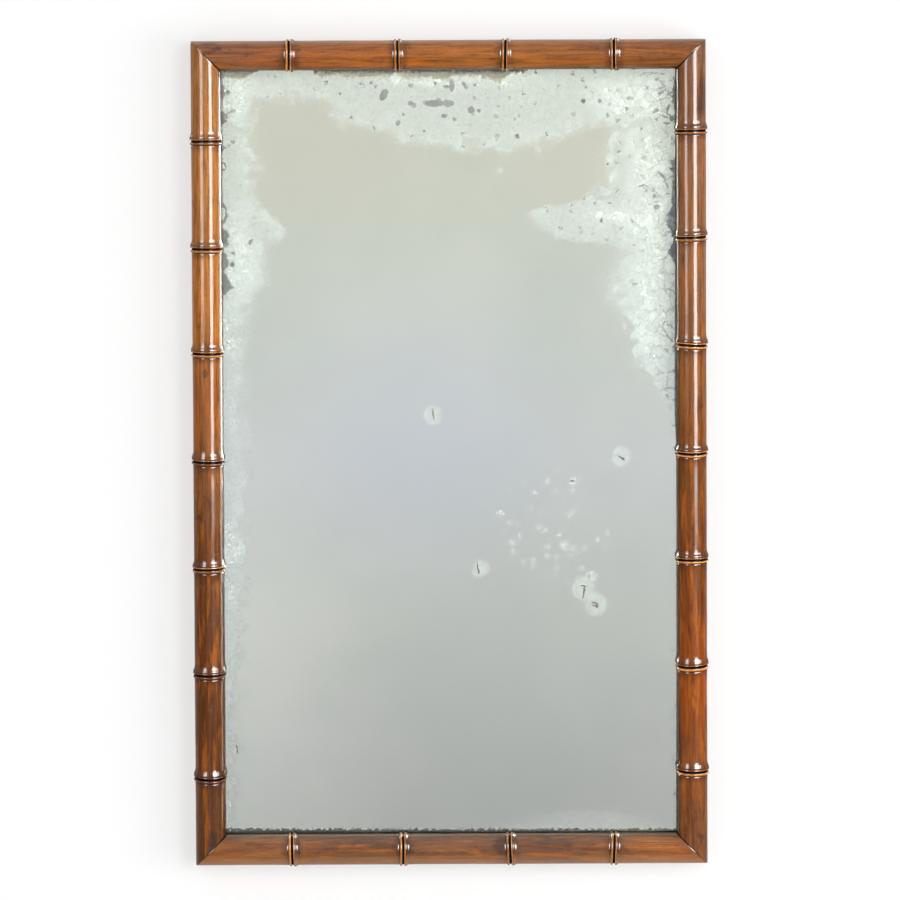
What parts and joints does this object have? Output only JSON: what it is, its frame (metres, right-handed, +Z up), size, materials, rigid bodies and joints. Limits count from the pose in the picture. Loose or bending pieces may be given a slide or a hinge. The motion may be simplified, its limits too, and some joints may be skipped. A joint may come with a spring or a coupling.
{
  "type": "framed wall mirror",
  "caption": "Upright wall mirror in a carved faux-bamboo wood frame with mitred corners, aged plate, pine backboards and two swinging hanging rings.",
  "frame": {"origin": "centre of the flat back, on the back face of the middle backboard", "axes": "+Z up the mirror, the mirror faces -Y, +Y out of its back towards the wall, +X to the right seen from the front"},
  "size_m": [0.5162, 0.043, 0.828],
  "materials": {
    "varnished_wood": "carved and turned hardwood, brown shellac varnish, worn at the nodes",
    "pine": "bare aged pine, planed",
    "key_wood": "thin hardwood, glued in",
    "block_wood": "bare softwood offcuts",
    "plate_glass": "clear old plate",
    "silvering": "foxed and clouded metal coat",
    "brass": "aged brass sheet and wire",
    "brass_screw": "aged brass, slotted",
    "iron_nail": "dark cut iron"
  },
  "bodies": {
    "frame": {"rail_bottom": "varnished_wood", "stile_right": "varnished_wood", "rail_top": "varnished_wood", "stile_left": "varnished_wood", "mitre_key_bottom_left": "key_wood", "mitre_key_bottom_right": "key_wood", "mitre_key_top_right": "key_wood", "mitre_key_top_left": "key_wood", "mirror_glass": "plate_glass", "silvering": "silvering", "packing_blocks_bottom": "block_wood", "packing_blocks_right": "block_wood", "packing_blocks_top": "block_wood", "packing_blocks_left": "block_wood", "backboard_1": "pine", "backboard_2": "pine", "backboard_3": "pine", "backboard_4": "pine", "backboard_5": "pine", "backboard_nails_left": "iron_nail", "backboard_nails_right": "iron_nail", "hanger_strap_left": "brass", "hanger_strap_right": "brass", "hanger_screws_left": "brass_screw", "hanger_screws_right": "brass_screw"},
    "ring_left": {"hanger_ring_left": "brass"},
    "ring_right": {"hanger_ring_right": "brass"}
  },
  "joints": [
    {"name": "ring_left_swing", "type": "hinge", "parent": "frame", "child": "ring_left", "pos_m": [-0.24773, 0.00275, 0.22215], "axis": [1, 0, 0], "range_deg": [0, 180]},
    {"name": "ring_right_swing", "type": "hinge", "parent": "frame", "child": "ring_right", "pos_m": [0.24773, 0.00275, 0.22215], "axis": [1, 0, 0], "range_deg": [0, 180]}
  ]
}
